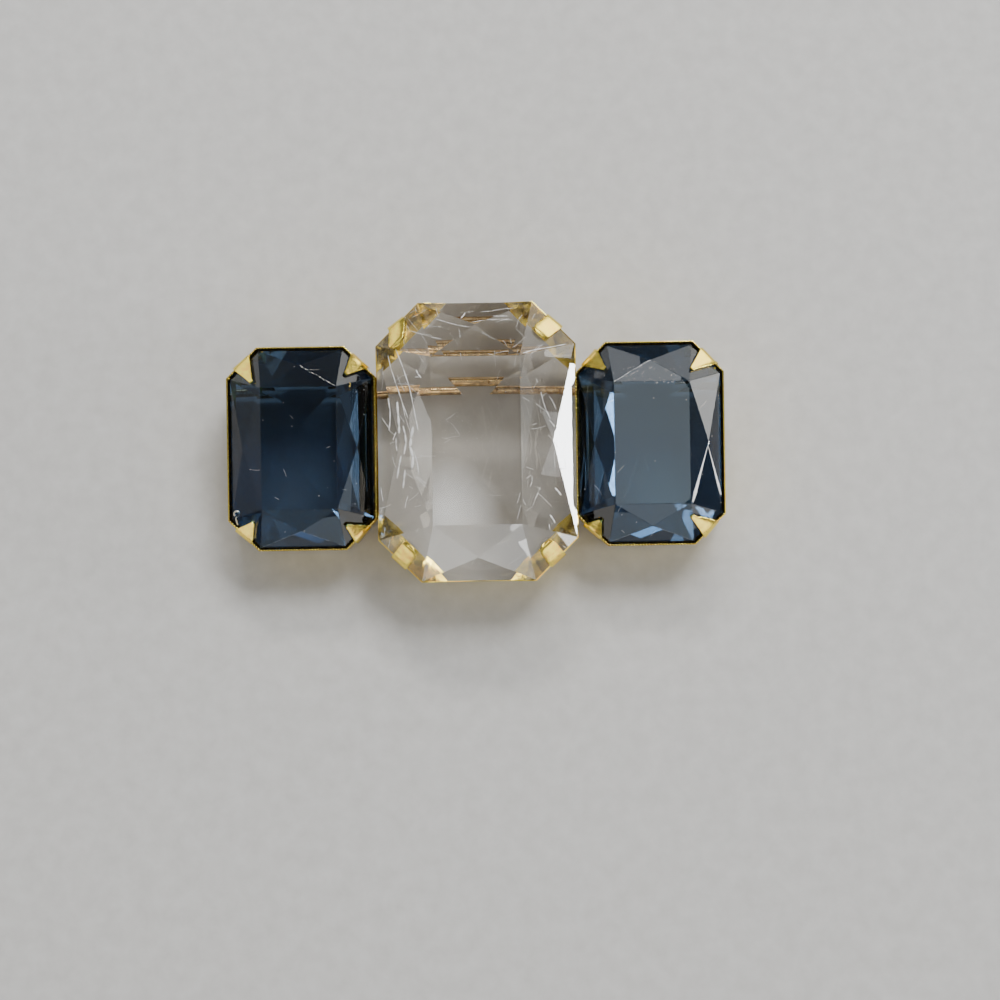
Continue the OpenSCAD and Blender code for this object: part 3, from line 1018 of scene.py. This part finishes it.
# Each mark has its width, and the places in the picture that it runs through.
BOLD = (
    # Scratches that come down from the left claw, then dashes and a broad bruise.
    (0.05, (388, 356), (391, 369), (396, 384), (402, 402), (408, 418)),
    (0.06, (396, 350), (403, 368), (409, 386), (413, 404), (416, 420), (418, 430)),
    (0.04, (402, 402), (405, 416), (410, 432)),
    (0.10, (388, 398), (390, 410), (390, 421), (389, 430)),
    (0.15, (397, 402), (398, 415), (399, 426), (399, 433)),
    (0.07, (396, 432), (394, 437), (393, 440)),
    (0.11, (403, 426), (405, 434), (406, 443), (404, 454)),
    (0.07, (396, 438), (396, 445), (397, 451)),
    (0.12, (401, 456), (399, 466), (397, 478)),
    (0.11, (405, 470), (404, 480), (403, 488)),
    (0.16, (413, 427), (411, 438), (410, 447)),
    (0.15, (410, 447), (413, 457), (412, 469)),
    (0.05, (414, 452), (417, 462), (419, 474)),
    # Ticks at the left edge, and two nicks by the wire.
    (0.05, (382, 418), (386, 424), (389, 428)),
    (0.05, (408, 496), (406, 502), (405, 508)),
    (0.05, (381, 488), (382, 496), (383, 501)),
    (0.08, (416, 370), (418, 374), (421, 378)),
    (0.05, (415, 377), (419, 377)),
    # Down the right side.
    (0.04, (541, 392), (543, 401), (546, 410), (550, 418)),
    (0.03, (549, 396), (553, 402), (556, 409)),
    (0.05, (549, 420), (552, 423), (555, 427)),
    (0.10, (555, 488), (558, 491), (561, 495)),
    (0.09, (550, 515), (553, 519), (555, 523)),
    (0.05, (549, 524), (550, 530)),
    (0.03, (532, 476), (532, 482), (530, 487)),
    # Along the top.
    (0.028, (436, 319), (446, 322), (457, 325), (469, 327)),
    (0.028, (411, 331), (421, 334), (431, 337), (441, 339)),
    (0.028, (480, 312), (491, 311), (502, 309), (513, 308)),
    (0.06, (461, 318), (463, 316), (465, 313)),
    (0.04, (493, 316), (499, 316), (507, 316)),
    (0.025, (472, 322), (486, 320), (500, 319), (512, 320)),
    (0.038, (523, 353), (533, 350), (545, 348), (556, 346), (566, 344)),
)
surface = surface_of(clear_octagon)
on_clear, on_blue = [], []
for width, *path in BOLD:
    on_clear += scratch(surface, path, BOLD_WIDER * width)
print(len(BOLD), "bold marks,", len(on_clear), "slivers")

# %% [markdown]
# Two edges of the right stone each carry a painted highlight, a white line where its right side's
# facets meet below the middle. They are laid as scratches too, from slivers that grow wider and overlap.

# %% Painted highlights on the edges of the right stone
KITE_TOP = (708, 445)
KITE_FEET = ((692.5, 503), (723, 503))
EDGE_STEPS = 8
EDGE_OVERLAP = 3
EDGE_WIDTH = 0.1
EDGE_WIDER = 0.066

surface = surface_of(right_octagon)
for foot in KITE_FEET:
    ends = [Vector(KITE_TOP).lerp(Vector(foot), step / EDGE_STEPS) for step in range(EDGE_STEPS + 1)]
    for step in range(EDGE_STEPS - EDGE_OVERLAP + 1):
        path = (ends[step], ends[step + EDGE_OVERLAP])
        on_blue += scratch(surface, path, EDGE_WIDTH + EDGE_WIDER * step)
print(len(on_blue), "slivers along the worn edges")

# %% Hairlines and specks
# Each row has a stone, a box in the picture, a count, the widths in millimetres and, for the
# hairlines, the lengths in the picture.
WEAR = {
    "clear top": (clear_octagon, (400, 306, 560, 356), 46, (0.018, 0.034), (4, 22)),
    "clear left": (clear_octagon, (380, 360, 428, 540), 26, (0.025, 0.05), (5, 24)),
    "clear right": (clear_octagon, (520, 360, 574, 560), 30, (0.025, 0.05), (5, 26)),
    "clear table": (clear_octagon, (430, 360, 522, 560), 16, (0.018, 0.028), (5, 20)),
    "left stone": (left_octagon, (235, 358, 368, 540), 8, (0.012, 0.02), (4, 16)),
    "right stone": (right_octagon, (582, 352, 716, 536), 8, (0.012, 0.02), (4, 16)),
}
SPECKS = {
    "clear table": (clear_octagon, (438, 412, 478, 462), 34, (0.03, 0.06)),
    "clear all over": (clear_octagon, (380, 310, 574, 570), 60, (0.03, 0.07)),
    "left stone": (left_octagon, (250, 365, 366, 535), 16, (0.03, 0.08)),
    "right stone": (right_octagon, (585, 358, 716, 532), 18, (0.03, 0.07)),
    "right stone's top": (right_octagon, (622, 366, 684, 383), 60, (0.03, 0.06)),
}
# A hairline bends by up to this angle at each step.
HAIR_BEND = 0.12


def wander(chance, box, length, steps=5):
    """A slightly curved path in the picture, which starts in the box."""
    x, y = chance.uniform(box[0], box[2]), chance.uniform(box[1], box[3])
    heading, bend = chance.uniform(0, math.pi), chance.uniform(-HAIR_BEND, HAIR_BEND)
    path = []
    for _ in range(steps):
        path.append((x, y))
        x, y = x + math.cos(heading) * length / steps, y + math.sin(heading) * length / steps
        heading += bend
    return path


def wear_on(stone):
    """The stone's surface, and the list that its slivers go to."""
    return surface_of(stone), on_clear if stone == clear_octagon else on_blue


# %% Strewing them
chance = random.Random(21)
for stone, box, count, widths, lengths in WEAR.values():
    surface, laid = wear_on(stone)
    for _ in range(count):
        laid += scratch(surface, wander(chance, box, chance.uniform(*lengths)), chance.uniform(*widths))
for stone, box, count, sizes in SPECKS.values():
    surface, laid = wear_on(stone)
    for _ in range(count):
        width = chance.uniform(*sizes)
        laid += scratch(surface, wander(chance, box, 2 * width * PICTURE / VIEW_WIDTH, 2), width)
bpy.data.objects.remove(sliver)
# The blue stones' slivers hold their real wear and the painted highlights on the right stone's edges.
marks = [joined("clear_wear", on_clear), joined("blue_wear_and_glints", on_blue)]
for piece, slot in zip(marks, ("clear_stone", "blue_glass")):
    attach(piece, "root")
    print(piece.name, "has", len(piece.data.polygons), "faces")

# %% [markdown]
# ## Materials
#
# No real finish is one flat colour: gilt darkens in patches, and stone turns cloudy where it is
# rubbed. The finishes here share one effect, mottling. A cloudy noise picks a place between two
# colours, and between two roughnesses. So mottling is a node group, built once, and each material
# places it with its own values. It reads Object coordinates, so it stays on its piece from any side.

# %% Node helpers


def node(tree, kind, **values):
    """Adds a node and sets the properties that are named."""
    made = tree.nodes.new("ShaderNode" + kind)
    for key, value in values.items():
        setattr(made, key, value)
    return made


def feed(tree, targets, values):
    """Links each value that is a socket to its target, and sets the others as plain values."""
    for key, value in values.items():
        if isinstance(value, bpy.types.NodeSocket):
            tree.links.new(value, targets[key])
        else:
            targets[key].default_value = value


def math_node(tree, operation, a, b):
    """Two values, put together."""
    made = node(tree, "Math", operation=operation)
    feed(tree, made.inputs, {0: a, 1: b})
    return made.outputs[0]


def ramp(tree, value, low, high, to_low=0.0, to_high=1.0):
    """Maps a value from one range to another, and holds it there."""
    made = node(tree, "MapRange", clamp=True)
    feed(tree, made.inputs, {0: value, 1: low, 2: high, 3: to_low, 4: to_high})
    return made.outputs[0]


def mix_colour(tree, share, a, b):
    """The colour at a share of the way from a to b."""
    made = node(tree, "Mix", data_type="RGBA")
    feed(tree, made.inputs, {0: share, 6: a, 7: b})
    return made.outputs[2]


def noise(tree, place, scale, detail, grain):
    """A cloudy value from 0 to 1."""
    made = node(tree, "TexNoise")
    feed(tree, made.inputs, {"Vector": place, "Scale": scale, "Detail": detail, "Roughness": grain})
    return made.outputs["Fac"]


# %% The mottling group
MOTTLING = {
    "Scale": 1, "Detail": 3, "Grain": 0.55, "Tint from": 0, "Tint to": 1,
    "Rough from": 0.3, "Rough to": 0.7, "Smoothest": 0.2, "Roughest": 0.4,
}


def mottling_group():
    """A node group that mottles a surface between two colours and two roughnesses."""
    tree = bpy.data.node_groups.new("mottling", "ShaderNodeTree")

    def socket(direction, kind, label):
        return tree.interface.new_socket(name=label, in_out=direction, socket_type="NodeSocket" + kind)

    socket("INPUT", "Vector", "Place")
    socket("INPUT", "Color", "Pale")
    socket("INPUT", "Color", "Deep")
    for label, value in MOTTLING.items():
        socket("INPUT", "Float", label).default_value = value
    socket("OUTPUT", "Float", "Cloud")
    socket("OUTPUT", "Color", "Colour")
    socket("OUTPUT", "Float", "Roughness")
    given = tree.nodes.new("NodeGroupInput").outputs
    result = tree.nodes.new("NodeGroupOutput").inputs
    cloud = noise(tree, given["Place"], given["Scale"], given["Detail"], given["Grain"])
    tint = ramp(tree, cloud, given["Tint from"], given["Tint to"])
    colour = mix_colour(tree, tint, given["Pale"], given["Deep"])
    roughness = ramp(tree, cloud, given["Rough from"], given["Rough to"],
                     given["Smoothest"], given["Roughest"])
    feed(tree, result, {"Cloud": cloud, "Colour": colour, "Roughness": roughness})
    return tree


mottling = mottling_group()
print("mottling takes", len(mottling.interface.items_tree) - 3, "values")


def mottled(tree, place, **values):
    """Places the group in a material with its own values, and gives its outputs."""
    made = tree.nodes.new("ShaderNodeGroup")
    made.node_tree = mottling
    values = {key.replace("_", " ").capitalize(): value for key, value in values.items()}
    feed(tree, made.inputs, {"Place": place, **values})
    return made.outputs


# %% Making and giving a material


def new_material(name):
    """A material, its tree, its Principled shader and Object coordinates in millimetres."""
    material = bpy.data.materials.new(name)
    material.use_nodes = True
    tree = material.node_tree
    shader = tree.nodes["Principled BSDF"]
    place = node(tree, "Mapping", vector_type="POINT")
    tree.links.new(node(tree, "TexCoord").outputs["Object"], place.inputs["Vector"])
    place.inputs["Scale"].default_value = (1 / MM, 1 / MM, 1 / MM)
    return material, tree, shader, place.outputs["Vector"]


def mottled_material(name, constants, **values):
    """A material with the mottled colour and roughness, and the shader's constant values."""
    material, tree, shader, place = new_material(name)
    clouds = mottled(tree, place, **values)
    mottle = {"Base Color": clouds["Colour"], "Roughness": clouds["Roughness"]}
    feed(tree, shader.inputs, mottle | constants)
    return material


def dress(material, *pieces):
    """Gives the pieces this material alone."""
    for piece in pieces:
        piece.data.materials.clear()
        piece.data.materials.append(material)


# %% [markdown]
# ### Gilt brass
#
# The settings are brass with a thin wash of gold. It goes from a lemon gold to a warmer one in
# patches. Painted shade darkens and dulls it where a value written on each piece says, mostly where
# the walls meet the stones, and a slight bump breaks up the mirror of sheet that was bent by hand.

# %% Gilt brass
GILT_BRIGHT = (0.98, 0.76, 0.14, 1)
GILT_WARM = (0.95, 0.61, 0.13, 1)
GILT_DARK = (0.05, 0.028, 0.012, 1)
GILT_BUMP = 0.000025
# How much the painted shade also dulls the gilt.
SHADE_DULLS = 0.3
FINE_SHARE = 0.15

gilt, tree, shader, place = new_material("gilt_brass")
patches = mottled(tree, place, scale=0.8, tint_from=0.5, tint_to=0.68, pale=GILT_BRIGHT, deep=GILT_WARM)
wear = mottled(tree, place, scale=3.1, detail=5, rough_from=0.35, rough_to=0.75,
               smoothest=0.12, roughest=0.24)
# The painted shade that each piece carries. It and the random dark spots both take GILT_DARK.
shade_amount = node(tree, "Attribute", attribute_name="painted_shade").outputs["Fac"]
broken = ramp(tree, wear["Cloud"], 0.3, 0.6, to_low=0.8, to_high=1)
spots = ramp(tree, wear["Cloud"], 0.66, 0.82, to_low=0, to_high=0.35)
dark = math_node(tree, "MAXIMUM", math_node(tree, "MULTIPLY", shade_amount, broken), spots)
dull = math_node(tree, "ADD", wear["Roughness"], math_node(tree, "MULTIPLY", shade_amount, SHADE_DULLS))
waves = noise(tree, place, scale=1.1, detail=3, grain=0.55)
uneven = math_node(tree, "ADD", waves, math_node(tree, "MULTIPLY", wear["Cloud"], FINE_SHARE))
bump = node(tree, "Bump")
feed(tree, bump.inputs, {"Height": uneven, "Distance": GILT_BUMP, "Strength": 0.5})
colour = mix_colour(tree, dark, patches["Colour"], GILT_DARK)
feed(tree, shader.inputs, {"Base Color": colour, "Metallic": 1, "Roughness": dull,
                           "Normal": bump.outputs["Normal"]})
dress(gilt, *settings, flakes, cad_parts["settings"])

# %% [markdown]
# ### Bare metal and darkened wire
#
# Where the plating is torn, the metal under it is pale. The wire has lost its shine in spots. Both
# are the same finish with other colours, so both are made of mottling alone.

# %% Bare metal
bare = mottled_material(
    "bare_metal", {"Metallic": 1}, scale=2.5, pale=(0.95, 0.92, 0.84, 1), deep=(0.75, 0.68, 0.55, 1))
dress(bare, snag)

# %% Darkened gilt for the wire
wire = mottled_material(
    "pin_wire", {"Metallic": 1}, scale=2.3, detail=5, tint_from=0.4, tint_to=0.65,
    pale=(0.90, 0.66, 0.36, 1), deep=(0.42, 0.26, 0.13, 1), smoothest=0.12, roughest=0.32)
dress(wire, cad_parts["pin_stem"])

# %% [markdown]
# ### The stones
#
# Both kinds of stone let all light through, bend it, and tint it on its way in and out. The clear
# one bends it less, as acrylic does, and is warmer and a little cloudy where it is rubbed. The blue
# ones bend it as glass does. A scratch is crushed stone, which is white, and the same white is a
# painted highlight on two edges of the right stone.

# %% Clear stone
clear = mottled_material(
    "clear_stone", {"Transmission Weight": 1, "IOR": 1.49}, scale=0.7, detail=6, grain=0.65,
    pale=(0.97, 0.945, 0.90, 1), deep=(0.93, 0.90, 0.85, 1),
    rough_from=0.5, rough_to=0.8, smoothest=0, roughest=0.05)
dress(clear, clear_octagon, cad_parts["centre_stone"])

# %% Blue stones
blue = mottled_material(
    "blue_glass", {"Transmission Weight": 1, "IOR": 1.54}, scale=0.5, detail=4,
    pale=(0.088, 0.17, 0.30, 1), deep=(0.075, 0.145, 0.26, 1),
    rough_from=0.4, rough_to=0.8, smoothest=0, roughest=0.03)
dress(blue, left_octagon, right_octagon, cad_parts["left_stone"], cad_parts["right_stone"])

# %% Bruised stone, in the scratches and nicks, and as a painted highlight on the right stone's edges
bruise_and_glint = mottled_material(
    "bruised_stone_and_glint", {}, scale=4, pale=(0.93, 0.92, 0.92, 1), deep=(0.99, 0.98, 0.97, 1))
dress(bruise_and_glint, *marks)

# %% [markdown]
# ### The floor
#
# The pin lies on plain pale paper. It is rough all over, and its colour hardly changes.

# %% The floor
FLOOR = 6

floor = primitive("floor", bpy.ops.mesh.primitive_plane_add, size=FLOOR)
paper, tree, shader, place = new_material("paper")
clouds = mottled(tree, place, scale=0.6, detail=6, tint_from=0.3, tint_to=0.7,
                 pale=(0.53, 0.515, 0.50, 1), deep=(0.60, 0.585, 0.57, 1))
feed(tree, shader.inputs, {"Base Color": clouds["Colour"], "Roughness": 0.9})
dress(paper, floor)
